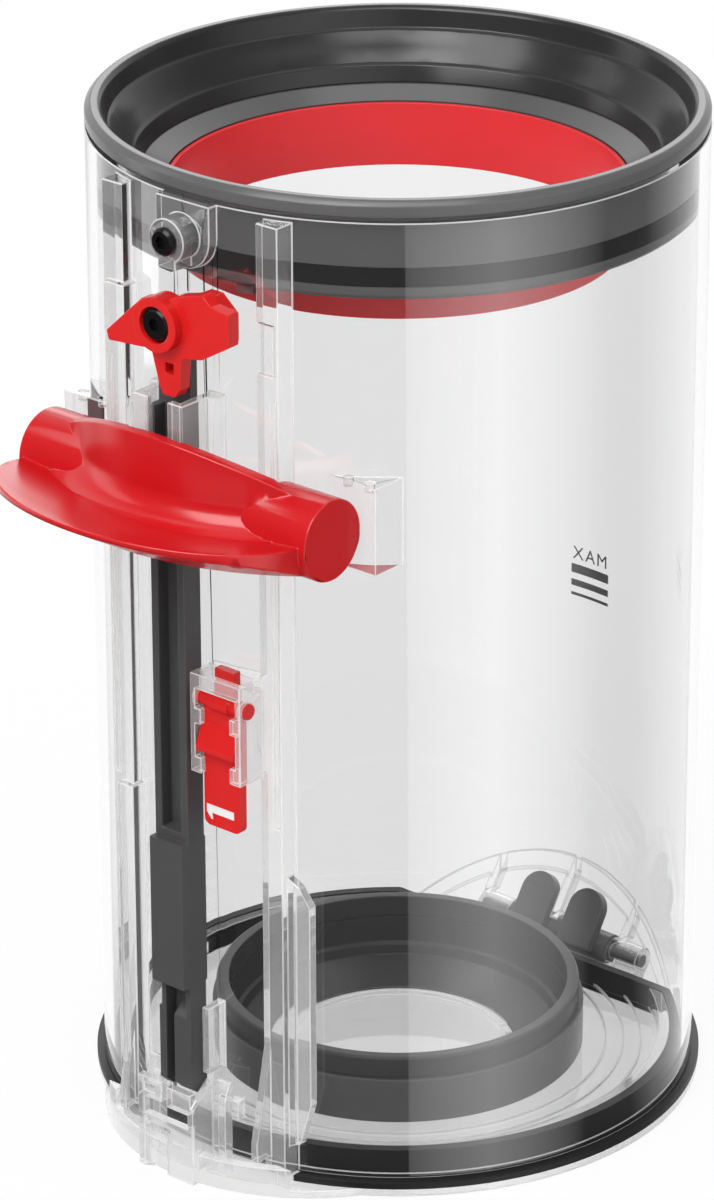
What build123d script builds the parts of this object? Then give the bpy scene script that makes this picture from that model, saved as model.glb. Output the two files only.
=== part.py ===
from build123d import *
from math import cos, sin, radians, sqrt
import os

os.makedirs("parts", exist_ok=True)

# Cyclone dust bin, millimetres. The bin axis is Z, the base stands on Z = 0,
# the latch side (spine) faces -Y and the door hinge is on the +Y side.
# Distances from the axis toward the spine are named with positive values.

# Clearances
RUN = 0.4
PIN_RUN = 0.08
SEAT = 0.1

# Layers of the base door
RIM_T = 1.6
SEAL_LIP = 1.2
FLOOR_T = 1.8
FLOOR_Z = RIM_T + FLOOR_T

# Clear tube
TUBE_R = 58.5
WALL = 2.0
HEIGHT = 200.0
LIP_H = 4.0
TUBE_BORE = TUBE_R - WALL
TUBE_FOOT = RIM_T + SEAL_LIP + RUN
TUBE_TOP = HEIGHT - LIP_H
ROOT = TUBE_BORE - 6.5
BREAK = 1.0
REACH = 3 * TUBE_R

# Hinge pocket: a flat slope that cuts the tube's lower back edge, sunk inside a raised rim
SLOPE = 1.44
SLOPE_IN = 14.4
SLOPE_Y0 = TUBE_R - SLOPE_IN
SLOPE_TOP = SLOPE * SLOPE_IN + 3.3
PANEL = 2.0
PANEL_SINK = 0.7
PANEL_RIM = 2.6
RIB_X = 17.7
RIB_T = 1.6
RIB_H = 2.0
RIB_FOOT = 9.8
NORM = sqrt(1 + SLOPE * SLOPE)

# Door hinge
HINGE_Y = TUBE_R - 5.0
HINGE_Z = 5.2
HINGE_PIN_R = 1.3
BARREL_R = 3.2
BARREL_X = 12.8
KNUCKLE_R = 3.0
KNUCKLE_L = 7.6
LOBE_W = 8.2
LOBE_X = 6.2
LOBE_T = 2.5
LOBE_TOP = 16.6
LOBE_LOW = 6.6

# Rocker pivot and screws at the top of the spine
PIVOT_Z = TUBE_TOP - 21.6
PIVOT_BOSS_R = 3.6
PIVOT_BOSS_Y = TUBE_R + 4.5
COLLAR_SCREW_Z = TUBE_TOP - 6.5
COLLAR_BOSS_R = 4.2
COLLAR_BOSS_Y = TUBE_R + 6.1
PAD_W = 12.8
PAD_Y = TUBE_R + 1.7
SCREW_R = 1.6
SCREW_GRIP = 4.0
HEAD_T = 1.4
HEAD_R = 3.1
COLLAR_HEAD_R = 2.6
SOCKET_R = 1.3
SOCKET_D = 0.9

# Spine rails
RAIL_IN = 16.1
RAIL_W = 5.0
RAIL_OUT = RAIL_IN + RAIL_W
RAIL_FACE = TUBE_R + 0.1
RAIL_TOP = TUBE_TOP - 1.0
FIN_W = 5.5
FIN_T = 1.8
FIN_Y = TUBE_R - 3.1
FIN_LOW = 9.0
FIN_TOP = 67.0
STEP_Z = PIVOT_Z - 3.2
STEP_H = 9.6
RUNNER_W = 4.0
RUNNER_T = 1.4
RUNNER_TOP = 75.0
GROOVE_W = 1.2
GROOVE_D = 0.8
GUSSET_T = 1.6
GUSSET_LOW = 6.8
GUSSET_TOP = 30.0

# Push rod
ROD_W = 8.0
ROD_D = 4.6
ROD_BACK = TUBE_R + 2.7
ROD_FRONT = ROD_BACK + ROD_D
ROD_WEB = 1.7
ROD_GROOVE = 4.8
ROD_TOP = PIVOT_Z - 5.4
ROD_END = 18.0
ROD_TRAVEL = 6.0
SLEEVE_BACK = ROD_BACK - 0.4
SLEEVE_FRONT = ROD_FRONT + 1.8
SLEEVE_LOW = 41.0
SLEEVE_TOP = SLEEVE_LOW + 30.3
SLEEVE_WALL = 1.9
NECK_W = 6.6
FORK_TOP = 35.0
FORK_SLOT = 2.0

# Return spring
SPRING_R = 1.9
SPRING_WIRE = 0.3
SPRING_TURNS = 6
SPRING_Y = ROD_BACK + 1.4
SPRING_TOP = SLEEVE_TOP - SLEEVE_WALL - RUN
LUG_T = 2.0
SPRING_LOW = SLEEVE_LOW + ROD_TRAVEL + 0.2

# Rod guides
GUIDE_T = 1.6
GUIDE_LOW = PIVOT_Z - 38.4
GUIDE_TOP = PIVOT_Z - 14.4
GUIDE_FOOT = 3.4
LIP_T = 1.4
LIP_IN = 2.4
LOW_GUIDE_Z = 22.0
LOW_GUIDE_H = 14.0

# Push handle
GRIP_Y = TUBE_R + 1.5
GRIP_Z = PIVOT_Z - 35.1
GRIP_R = 7.8
GRIP_END = 35.0
GRIP_IN = 9.0
GRIP_GAP = 0.6
SHELL_T = 2.4
SHELL_R = 44.4
SHELL_BACK = ROD_FRONT + 2.8
SHELL_AXIS = SHELL_BACK - SHELL_R
SHELL_FRONT = SHELL_R + SHELL_T
SCOOP_R = 5.0
SHELF_Z = GRIP_Z + 0.1
TRAY_A = 33.6
TRAY_B = 19.5
TRAY_Y = TUBE_R + 12.0
TRAY_BACK = GRIP_Y + 2.0
TRAY_RISE = 2.6
TRAY_T = 1.0
VISOR_TOP = SHELF_Z + 14.6
VISOR_R = 55.6
HULL_H = 5.4
HULL_R = SHELL_FRONT + 6.9
EAR_X = 32.6
EAR_W = 11.2
EAR_D = 11.8
EAR_H = 17.0
EAR_TOP = GRIP_Z + 8.2
EAR_HOLE_R = 0.9

# Release rocker
HUB_R = 5.2
HUB_FRONT = TUBE_R + 9.7
ROCKER_BACK = PIVOT_BOSS_Y + RUN
WING_T = 2.8
SEAT_Y = HUB_FRONT - 1.9
ROCKER_SWING = 10.0
PEG_R = 1.0
PEG_X = 1.2
PEG_DROP = 12.0
PEG_L = 1.9

# Removal catch and its bracket
CATCH_X = 10.5
CATCH_W = 9.0
CATCH_NECK = 4.8
CATCH_T = 1.8
BULGE = 2.2
CATCH_Y = TUBE_R + 4.1
CATCH_Z = GRIP_Z - 38.3
CATCH_BAR_R = 1.5
CHEEK_T = 1.2
CHEEK_Y = CATCH_Y + 2.4
CHEEK_LOW = CATCH_Z - 14.6
CHEEK_TOP = CATCH_Z + 5.4
BRIDGE_H = 3.0
BRIDGE_T = 1.6
CLIP_W = 2.6
CLIP_H = 1.6
CLIP_T = 1.2

# Base door
RIM_R = TUBE_R + 1.5
SEAL_R = TUBE_BORE - RUN
SEAL_IN = SEAL_R - 1.9
SEAL_TOP = FLOOR_Z + 4.6
UPRIGHT_T = 2.2
CHORD_RIM = SLOPE_Y0 + 1.9
CHORD_SEAL = SLOPE_Y0 - 0.8
CHORD_IN = CHORD_SEAL - 1.9
RING_R = 36.9
RING_LIP_R = RING_R - 0.9
RING_BORE = 33.6
RING_TOP = 17.1
RING_SPLIT = 12.6
WELL_R = 30.6
WELL_Z = 1.0
WELL_LIP_R = 23.2
WELL_LIP_T = 1.8
WELL_LIP_H = 0.9
FOOT_R = 40.9
FOOT_FRONT = TUBE_R + 8.3
FOOT_AXIS = FOOT_FRONT - FOOT_R
FOOT_LIP = 2.0
FOOT_LIP_H = 6.0
FOOT_EAR_H = 9.4
ARM_X = 7.6
ARM_W = 3.2
ARM_BACK = TUBE_R + 2.5
ARM_T = 2.0
ARM_TOP = 21.0
BARB = 0.8
LATCH_T = 1.6
LATCH_BACK = ROD_FRONT + RUN
LATCH_FRONT = LATCH_BACK + LATCH_T
LATCH_LEFT = 8.0
LATCH_RIGHT = 6.0
LATCH_LOW = 15.2
LATCH_TOP = 19.6
KEEPER_Z = 12.0
KEEPER_H = 4.0

# Collar and its seals, measured from the tube
LIP_R = TUBE_R - SEAT
COLLAR_R = TUBE_BORE - SEAT
BAND_TOP = TUBE_TOP - 9.1
BAND_LOW = BAND_TOP - 3.6
CLAMP_LOW = BAND_LOW - 2.6
THROAT_R = COLLAR_R - 8.7
LEDGE = 0.9
LEDGE_RISE = 0.5
WIPER_R = TUBE_BORE - 14.8
WIPER_T = 0.9
WIPER_OUT = WIPER_R + 1.7
WIPER_LOW = TUBE_TOP - 24.0
WIPER_LIP = 5.0
WIPER_TOP = BAND_LOW + 1.1
GASKET_IN = WIPER_OUT + 0.2
GASKET_OUT = THROAT_R + 1.7
BAND_IN = GASKET_OUT + 0.2


def slope_y(z, off=0.0):
    return SLOPE_Y0 + z / SLOPE + off * NORM / SLOPE


# Shallow recess that leaves a raised rim round the sloped panel
with BuildPart() as pocket_recess:
    with BuildSketch(Plane.YZ.offset(-REACH / 2)):
        with BuildLine():
            Polyline(
                (slope_y(0, -PANEL_SINK), 0),
                (slope_y(0, PANEL), 0),
                (slope_y(SLOPE_TOP, PANEL), SLOPE_TOP),
                (slope_y(SLOPE_TOP, -PANEL_SINK), SLOPE_TOP),
                close=True,
            )
        make_face()
    extrude(amount=REACH)
    with BuildSketch(Plane.XY):
        Circle(TUBE_R - PANEL_RIM)
    extrude(amount=SLOPE_TOP, mode=Mode.INTERSECT)

# Sloped panel of the hinge pocket with its three stiffening ribs
with BuildPart() as panel:
    with BuildSketch(Plane.YZ.offset(-TUBE_R)):
        with BuildLine():
            Polyline(
                (slope_y(TUBE_FOOT, -PANEL), TUBE_FOOT),
                (slope_y(TUBE_FOOT), TUBE_FOOT),
                (slope_y(SLOPE_TOP), SLOPE_TOP),
                (slope_y(SLOPE_TOP, -PANEL), SLOPE_TOP),
                close=True,
            )
        make_face()
    extrude(amount=2 * TUBE_R)
    add(pocket_recess.part, mode=Mode.SUBTRACT)
    for x in (-RIB_X, 0.0, RIB_X):
        with BuildSketch(Plane.YZ.offset(x - RIB_T / 2)):
            with BuildLine():
                Polyline(
                    (slope_y(RIB_FOOT, -PANEL_SINK - PANEL / 4), RIB_FOOT),
                    (slope_y(RIB_FOOT, RIB_H), RIB_FOOT),
                    (slope_y(SLOPE_TOP, RIB_H), SLOPE_TOP),
                    (slope_y(SLOPE_TOP, -PANEL_SINK - PANEL / 4), SLOPE_TOP),
                    close=True,
                )
            make_face()
        extrude(amount=RIB_T)
    with BuildSketch(Plane.XY):
        Circle(TUBE_R)
    extrude(amount=2 * SLOPE_TOP, mode=Mode.INTERSECT)

# Clear bin: tube, spine rails, handle ears, rod guides, screw bosses, catch bracket, hinge pocket
GUIDE_IN = ROD_W / 2 + RUN
GUIDE_FRONT = ROD_FRONT + RUN + LIP_T
with BuildPart() as clear_bin:
    with BuildSketch(Plane.XY.offset(TUBE_FOOT)):
        Circle(TUBE_R)
    extrude(amount=TUBE_TOP - TUBE_FOOT)
    # spine rails
    with BuildSketch(Plane.XY.offset(TUBE_FOOT)):
        for s in (-1, 1):
            with Locations((s * (RAIL_IN + RAIL_W / 2), -(RAIL_FACE + ROOT) / 2)):
                Rectangle(RAIL_W, RAIL_FACE - ROOT)
    extrude(amount=RAIL_TOP - TUBE_FOOT)
    # handle ears with two blind holes in their tops
    EAR_FRONT = GRIP_Y - GRIP_R - RUN
    with BuildSketch(Plane.XY.offset(EAR_TOP - EAR_H)):
        for s in (-1, 1):
            with Locations((s * EAR_X, -EAR_FRONT + EAR_D / 2)):
                Rectangle(EAR_W, EAR_D)
    extrude(amount=EAR_H)
    with BuildSketch(Plane.XY.offset(EAR_TOP)):
        for s in (-1, 1):
            with Locations((s * EAR_X - EAR_W / 5, -EAR_FRONT + 2 * EAR_HOLE_R)):
                Circle(EAR_HOLE_R)
            with Locations((s * EAR_X + EAR_W / 4, -EAR_FRONT + 2 * EAR_HOLE_R)):
                Circle(EAR_HOLE_R)
    extrude(amount=-2 * EAR_HOLE_R, mode=Mode.SUBTRACT)
    # side fin on one rail, and a step block on the other
    with BuildSketch(Plane.XZ.offset(FIN_Y)):
        with BuildLine():
            Polyline(
                (RAIL_OUT - BREAK, FIN_LOW),
                (RAIL_OUT + FIN_W / 2, FIN_LOW + FIN_W / 3),
                (RAIL_OUT + FIN_W, FIN_LOW + 2 * FIN_W),
                (RAIL_OUT + FIN_W, FIN_TOP - FIN_W),
                (RAIL_OUT + FIN_W / 2, FIN_TOP - FIN_W / 3),
                (RAIL_OUT - BREAK, FIN_TOP),
                close=True,
            )
        make_face()
    extrude(amount=FIN_T)
    with BuildSketch(Plane.XZ.offset(ROOT)):
        with Locations((-RAIL_IN - RAIL_W / 4, STEP_Z)):
            Rectangle(RAIL_W, STEP_H)
        with Locations((-RAIL_IN - RUNNER_W / 4, (GUSSET_LOW + RUNNER_TOP) / 2)):
            Rectangle(RUNNER_W, RUNNER_TOP - GUSSET_LOW)
    extrude(amount=RAIL_FACE + RUNNER_T - ROOT)
    with BuildSketch(Plane.XZ.offset(RAIL_FACE)):
        for s in (-1, 1):
            with Locations((s * (RAIL_OUT - RAIL_W / 4), (FIN_TOP + STEP_Z) / 2)):
                Rectangle(GROOVE_W, STEP_Z - FIN_TOP - 2 * STEP_H)
    extrude(amount=-GROOVE_D, mode=Mode.SUBTRACT)
    # upper rod guides: a foot along the tube, a side wall and a lip hooked over the rod
    with BuildSketch(Plane.XY.offset(GUIDE_LOW)):
        for s in (-1, 1):
            with Locations((s * (GUIDE_IN + GUIDE_T / 2), -(GUIDE_FRONT + ROOT) / 2)):
                Rectangle(GUIDE_T, GUIDE_FRONT - ROOT)
            with Locations((s * (GUIDE_IN + GUIDE_FOOT / 2), -(ROD_BACK + ROOT) / 2)):
                Rectangle(GUIDE_FOOT, ROD_BACK - ROOT)
            with Locations((s * (LIP_IN + GUIDE_IN + GUIDE_T) / 2, -(GUIDE_FRONT - LIP_T / 2))):
                Rectangle(GUIDE_IN + GUIDE_T - LIP_IN, LIP_T)
    extrude(amount=GUIDE_TOP - GUIDE_LOW)
    # lower rod guides
    with BuildSketch(Plane.XY.offset(LOW_GUIDE_Z)):
        for s in (-1, 1):
            with Locations((s * (GUIDE_IN + GUIDE_T / 2), -(ROD_BACK + ROD_WEB + ROOT) / 2)):
                Rectangle(GUIDE_T, ROD_BACK + ROD_WEB - ROOT)
    extrude(amount=LOW_GUIDE_H)
    # rocker pivot boss
    with BuildSketch(Plane.XZ.offset(ROOT)):
        with Locations((0, PIVOT_Z)):
            Circle(PIVOT_BOSS_R)
    extrude(amount=PIVOT_BOSS_Y - ROOT)
    # collar screw boss on its rounded pad, which hangs from the tube edge
    PAD_DROP = TUBE_TOP - COLLAR_SCREW_Z
    with BuildSketch(Plane.XZ.offset(ROOT)):
        with Locations((0, COLLAR_SCREW_Z)):
            Circle(PAD_W / 2)
        with Locations((0, COLLAR_SCREW_Z + PAD_DROP / 2)):
            Rectangle(PAD_W, PAD_DROP)
    extrude(amount=PAD_Y - ROOT)
    with BuildSketch(Plane.XZ.offset(ROOT)):
        with Locations((0, COLLAR_SCREW_Z)):
            Circle(COLLAR_BOSS_R)
        with Locations((0, COLLAR_SCREW_Z - COLLAR_BOSS_R)):
            Rectangle(COLLAR_BOSS_R, COLLAR_BOSS_R / 2)
    extrude(amount=COLLAR_BOSS_Y - ROOT)
    # removal catch bracket: two cheeks, a bridge over the top and four retaining clips
    CHEEK_LEFT = CATCH_X - CATCH_W / 2 - RUN - CHEEK_T
    CHEEK_SPAN = CATCH_W + 2 * (RUN + CHEEK_T)
    for x in (CHEEK_LEFT, CHEEK_LEFT + CHEEK_SPAN - CHEEK_T):
        with BuildSketch(Plane.YZ.offset(x)):
            with BuildLine():
                Polyline(
                    (-ROOT, CHEEK_LOW),
                    (-CHEEK_Y, CHEEK_LOW),
                    (-CHEEK_Y, CHEEK_TOP - BREAK),
                    (-CHEEK_Y + BREAK, CHEEK_TOP),
                    (-ROOT, CHEEK_TOP),
                    close=True,
                )
            make_face()
        extrude(amount=CHEEK_T)
    with BuildSketch(Plane.YZ.offset(CHEEK_LEFT)):
        with Locations((-CHEEK_Y + BRIDGE_T / 2, CHEEK_TOP - BRIDGE_H / 2)):
            Rectangle(BRIDGE_T, BRIDGE_H)
        with Locations((-(ROOT + CATCH_Y - CATCH_T - BREAK) / 2, CHEEK_TOP - BRIDGE_H / 2)):
            Rectangle(CATCH_Y - CATCH_T - BREAK - ROOT, BRIDGE_H)
    extrude(amount=CHEEK_SPAN)
    with BuildSketch(Plane.XZ.offset(CHEEK_Y)):
        for z in (CATCH_Z - CATCH_BAR_R - CLIP_H, CHEEK_LOW + CLIP_H):
            with Locations((CHEEK_LEFT + CLIP_W / 2, z), (CHEEK_LEFT + CHEEK_SPAN - CLIP_W / 2, z)):
                Rectangle(CLIP_W, 2 * CLIP_H)
    extrude(amount=-CLIP_T)
    # rod spring lug
    with BuildSketch(Plane.XY.offset(SPRING_LOW - LUG_T)):
        with Locations((0, -(ROOT + SPRING_Y + SPRING_R) / 2)):
            Rectangle(2 * SPRING_R + RUN, SPRING_Y + SPRING_R - ROOT)
    extrude(amount=LUG_T)
    # catch keepers and rail gussets
    with BuildSketch(Plane.XY.offset(KEEPER_Z)):
        for s in (-1, 1):
            with Locations((s * (ARM_X + BARB), -(ROOT + TUBE_R + 2 * RUN) / 2)):
                Rectangle(ARM_W, TUBE_R + 2 * RUN - ROOT)
    extrude(amount=KEEPER_H)
    for x in (-RAIL_IN - GUSSET_T, RAIL_IN):
        with BuildSketch(Plane.YZ.offset(x)):
            with BuildLine():
                Polyline(
                    (-ROOT, GUSSET_TOP),
                    (-RAIL_FACE, GUSSET_TOP),
                    (-RAIL_FACE - 2 * WALL, GUSSET_LOW + 2 * WALL),
                    (-RAIL_FACE - 2 * WALL, GUSSET_LOW),
                    (-ROOT, GUSSET_LOW),
                    close=True,
                )
            make_face()
        extrude(amount=GUSSET_T)
    # slot in the rail, screw and pivot holes
    with BuildSketch(Plane.XZ.offset(TUBE_R - WALL / 2)):
        with Locations((RAIL_IN + RAIL_W / 4, STEP_Z)):
            Rectangle(RAIL_W, STEP_H)
    extrude(amount=2 * WALL, mode=Mode.SUBTRACT)
    with BuildSketch(Plane.XZ.offset(PIVOT_BOSS_Y - SCREW_GRIP)):
        with Locations((0, PIVOT_Z)):
            Circle(SCREW_R)
    extrude(amount=2 * SCREW_GRIP, mode=Mode.SUBTRACT)
    with BuildSketch(Plane.XZ.offset(ROOT)):
        with Locations((0, COLLAR_SCREW_Z)):
            Circle(SCREW_R)
    extrude(amount=REACH, mode=Mode.SUBTRACT)
    with BuildSketch(Plane.YZ.offset(CHEEK_LEFT - CHEEK_T)):
        with Locations((-CATCH_Y, CATCH_Z)):
            Circle(CATCH_BAR_R + PIN_RUN)
    extrude(amount=CHEEK_SPAN + 2 * CHEEK_T, mode=Mode.SUBTRACT)
    # dust chamber
    with BuildSketch(Plane.XY):
        Circle(TUBE_BORE)
    extrude(amount=HEIGHT, mode=Mode.SUBTRACT)
    # hinge pocket: outside of the slope is cut away, then the panel closes it
    with BuildSketch(Plane.YZ.offset(-REACH / 2)):
        with BuildLine():
            Polyline(
                (slope_y(0, -PANEL / 2), 0),
                (slope_y(SLOPE_TOP, -PANEL / 2), SLOPE_TOP),
                (REACH, SLOPE_TOP),
                (REACH, 0),
                close=True,
            )
        make_face()
    extrude(amount=REACH, mode=Mode.SUBTRACT)
    add(panel.part)
clear_bin.part.label = "clear_bin"
export_step(clear_bin.part, "parts/clear_bin.step")

# Top collar: rolled lip over the tube edge and a funnel that steps down to the throat
with BuildPart() as top_collar:
    with BuildSketch(Plane.XZ):
        with BuildLine():
            Polyline(
                (THROAT_R, BAND_TOP),
                (COLLAR_R, BAND_TOP),
                (COLLAR_R, TUBE_TOP),
                (LIP_R - LEDGE, TUBE_TOP),
                (LIP_R - LEDGE, TUBE_TOP + LEDGE_RISE),
                (LIP_R, TUBE_TOP + 2 * LEDGE_RISE),
                (LIP_R, HEIGHT - BREAK),
                (LIP_R - BREAK, HEIGHT),
                (LIP_R - 2.5 * BREAK, HEIGHT),
                (LIP_R - 3.2 * BREAK, HEIGHT - 0.7 * BREAK),
                (COLLAR_R - 2.4 * LEDGE, TUBE_TOP),
                (COLLAR_R - 3.4 * LEDGE, TUBE_TOP - LEDGE_RISE),
                (THROAT_R + 2.5 * LEDGE, BAND_TOP + 3.6),
                (THROAT_R + 1.5 * LEDGE, BAND_TOP + 3.6 - LEDGE_RISE),
                close=True,
            )
        make_face()
    revolve(axis=Axis.Z)
    with BuildSketch(Plane.XZ.offset(COLLAR_R - SCREW_GRIP)):
        with Locations((0, COLLAR_SCREW_Z)):
            Circle(SCREW_R)
    extrude(amount=2 * SCREW_GRIP, mode=Mode.SUBTRACT)
top_collar.part.label = "top_collar"
export_step(top_collar.part, "parts/top_collar.step")

# Rubber band that seals the collar against the tube
with BuildPart() as collar_seal:
    with BuildSketch(Plane.XY.offset(BAND_LOW)):
        Circle(COLLAR_R)
        Circle(BAND_IN, mode=Mode.SUBTRACT)
    extrude(amount=BAND_TOP - BAND_LOW)
collar_seal.part.label = "collar_seal"
export_step(collar_seal.part, "parts/collar_seal.step")

# Clamp ring below the rubber band, with two bayonet lugs under its edge
with BuildPart() as clamp_ring:
    with BuildSketch(Plane.XZ):
        with BuildLine():
            Polyline(
                (WIPER_OUT, CLAMP_LOW),
                (COLLAR_R - LEDGE, CLAMP_LOW),
                (COLLAR_R, CLAMP_LOW + LEDGE),
                (COLLAR_R, BAND_LOW),
                (WIPER_OUT, BAND_LOW),
                close=True,
            )
        make_face()
    revolve(axis=Axis.Z)
    with BuildSketch(Plane.XY.offset(CLAMP_LOW)):
        with PolarLocations(COLLAR_R - 3 * LEDGE, 2, start_angle=-100, angular_range=40):
            Rectangle(3 * LEDGE, 4 * LEDGE)
    extrude(amount=-2 * LEDGE)
clamp_ring.part.label = "clamp_ring"
export_step(clamp_ring.part, "parts/clamp_ring.step")

# Glossy throat gasket, a sloping ring between funnel and wiper
with BuildPart() as throat_gasket:
    with BuildSketch(Plane.XZ):
        with BuildLine():
            Polyline(
                (GASKET_IN, BAND_LOW),
                (GASKET_OUT, BAND_LOW),
                (GASKET_OUT, BAND_TOP),
                (THROAT_R + LEDGE_RISE, BAND_TOP),
                (GASKET_IN, BAND_LOW + 1.3),
                close=True,
            )
        make_face()
    revolve(axis=Axis.Z)
throat_gasket.part.label = "throat_gasket"
export_step(throat_gasket.part, "parts/throat_gasket.step")

# Wiper ring: thin tapered skirt with a straight lip at its lower end
with BuildPart() as wiper_ring:
    with BuildSketch(Plane.XZ):
        with BuildLine():
            Polyline(
                (WIPER_R, WIPER_LOW),
                (WIPER_R + WIPER_T, WIPER_LOW),
                (WIPER_OUT, WIPER_LOW + WIPER_LIP + BREAK),
                (WIPER_OUT, WIPER_TOP),
                (WIPER_OUT - WIPER_T, WIPER_TOP),
                (WIPER_R, WIPER_LOW + WIPER_LIP),
                close=True,
            )
        make_face()
    revolve(axis=Axis.Z)
wiper_ring.part.label = "wiper_ring"
export_step(wiper_ring.part, "parts/wiper_ring.step")

# Screw that fastens the collar through the tube
with BuildPart() as collar_screw:
    with BuildSketch(Plane.XZ.offset(COLLAR_R - SCREW_GRIP / 3)):
        with Locations((0, COLLAR_SCREW_Z)):
            Circle(SCREW_R)
    extrude(amount=COLLAR_BOSS_Y - COLLAR_R + SCREW_GRIP / 3)
    with BuildSketch(Plane.XZ.offset(COLLAR_BOSS_Y)):
        with Locations((0, COLLAR_SCREW_Z)):
            Circle(COLLAR_HEAD_R)
    extrude(amount=HEAD_T)
    chamfer(faces().sort_by(Axis.Y)[0].edges(), HEAD_T / 3)
    with BuildSketch(Plane.XZ.offset(COLLAR_BOSS_Y + HEAD_T)):
        with Locations((0, COLLAR_SCREW_Z)):
            RegularPolygon(SOCKET_R, 6)
    extrude(amount=-SOCKET_D, mode=Mode.SUBTRACT)
collar_screw.part.label = "collar_screw"
export_step(collar_screw.part, "parts/collar_screw.step")

# Screw on which the rocker pivots
with BuildPart() as rocker_screw:
    with BuildSketch(Plane.XZ.offset(PIVOT_BOSS_Y - SCREW_GRIP)):
        with Locations((0, PIVOT_Z)):
            Circle(SCREW_R)
    extrude(amount=SEAT_Y + RUN - PIVOT_BOSS_Y + SCREW_GRIP)
    with BuildSketch(Plane.XZ.offset(SEAT_Y + RUN)):
        with Locations((0, PIVOT_Z)):
            Circle(HEAD_R)
    extrude(amount=HEAD_T)
    chamfer(faces().sort_by(Axis.Y)[0].edges(), HEAD_T / 3)
    with BuildSketch(Plane.XZ.offset(SEAT_Y + RUN + HEAD_T)):
        with Locations((0, PIVOT_Z)):
            RegularPolygon(SOCKET_R, 6)
    extrude(amount=-SOCKET_D, mode=Mode.SUBTRACT)
rocker_screw.part.label = "rocker_screw"
export_step(rocker_screw.part, "parts/rocker_screw.step")

# Rocker: hub, pointed left wing, blocky right wing, tail with its drive peg
with BuildPart() as release_rocker:
    with BuildSketch(Plane.XZ.offset(ROCKER_BACK)):
        with Locations((0, PIVOT_Z)):
            Circle(HUB_R)
    extrude(amount=HUB_FRONT - ROCKER_BACK)
    with BuildSketch(Plane.XZ.offset(ROCKER_BACK)) as wings:
        with BuildLine():
            Polyline(
                (0, PIVOT_Z - HUB_R),
                (-HUB_R, PIVOT_Z - HUB_R - 0.7),
                (-2.5 * HUB_R, PIVOT_Z - 1.25 * HUB_R),
                (-2.6 * HUB_R, PIVOT_Z - 0.9 * HUB_R),
                (-0.9 * HUB_R, PIVOT_Z + 0.7 * HUB_R),
                (0, PIVOT_Z + 0.7 * HUB_R),
                (0.7 * HUB_R, PIVOT_Z + 1.1 * HUB_R),
                (1.9 * HUB_R, PIVOT_Z + 1.45 * HUB_R),
                (2.3 * HUB_R, PIVOT_Z + 1.1 * HUB_R),
                (3.1 * HUB_R, PIVOT_Z + HUB_R),
                (3.1 * HUB_R, PIVOT_Z - 0.2 * HUB_R),
                (1.85 * HUB_R, PIVOT_Z - 0.95 * HUB_R),
                (0.9 * HUB_R, PIVOT_Z - 1.15 * HUB_R),
                close=True,
            )
        make_face()
        fillet(wings.vertices(), 0.6)
    extrude(amount=WING_T)
    # tail that reaches down in front of the rod
    with BuildSketch(Plane.XZ.offset(ROCKER_BACK)) as tail:
        with BuildLine():
            Polyline(
                (-3.2, PIVOT_Z - 3.4),
                (4.9, PIVOT_Z - 3.4),
                (4.2, PIVOT_Z - PEG_DROP - 0.2),
                (3.0, PIVOT_Z - PEG_DROP - 1.8),
                (0.2, PIVOT_Z - PEG_DROP - 1.8),
                (-0.8, PIVOT_Z - PEG_DROP + 0.2),
                close=True,
            )
        make_face()
        fillet(tail.vertices(), 0.6)
    extrude(amount=WING_T)
    # raised back of the right wing, which meets the release of the cleaner
    with BuildSketch(Plane.XZ.offset(ROCKER_BACK)):
        with BuildLine():
            Polyline(
                (1.25 * HUB_R, PIVOT_Z + 1.2 * HUB_R),
                (1.8 * HUB_R, PIVOT_Z + 1.2 * HUB_R),
                (2.5 * HUB_R, PIVOT_Z + 0.6 * HUB_R),
                (2.5 * HUB_R, PIVOT_Z - 0.4 * HUB_R),
                (1.5 * HUB_R, PIVOT_Z - HUB_R),
                (1.25 * HUB_R, PIVOT_Z - HUB_R),
                close=True,
            )
        make_face()
    extrude(amount=-1.3 * WING_T)
    with BuildSketch(Plane.XZ.offset(ROCKER_BACK)):
        with Locations((PEG_X, PIVOT_Z - PEG_DROP)):
            Circle(PEG_R)
    extrude(amount=-PEG_L)
    # seat of the screw head, its hole, and a small window in the tail
    with BuildSketch(Plane.XZ.offset(SEAT_Y)):
        with Locations((0, PIVOT_Z)):
            Circle(HEAD_R + RUN)
    extrude(amount=2 * HEAD_T, mode=Mode.SUBTRACT)
    with BuildSketch(Plane.XZ.offset(TUBE_R)):
        with Locations((0, PIVOT_Z)):
            Circle(SCREW_R + PIN_RUN)
        with Locations((PEG_X + 0.6, PIVOT_Z - PEG_DROP + 3.6)):
            Rectangle(2 * PEG_R, 2 * PEG_R)
    extrude(amount=TUBE_R, mode=Mode.SUBTRACT)
release_rocker.part.label = "release_rocker"
export_step(release_rocker.part, "parts/release_rocker.step")

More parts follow.
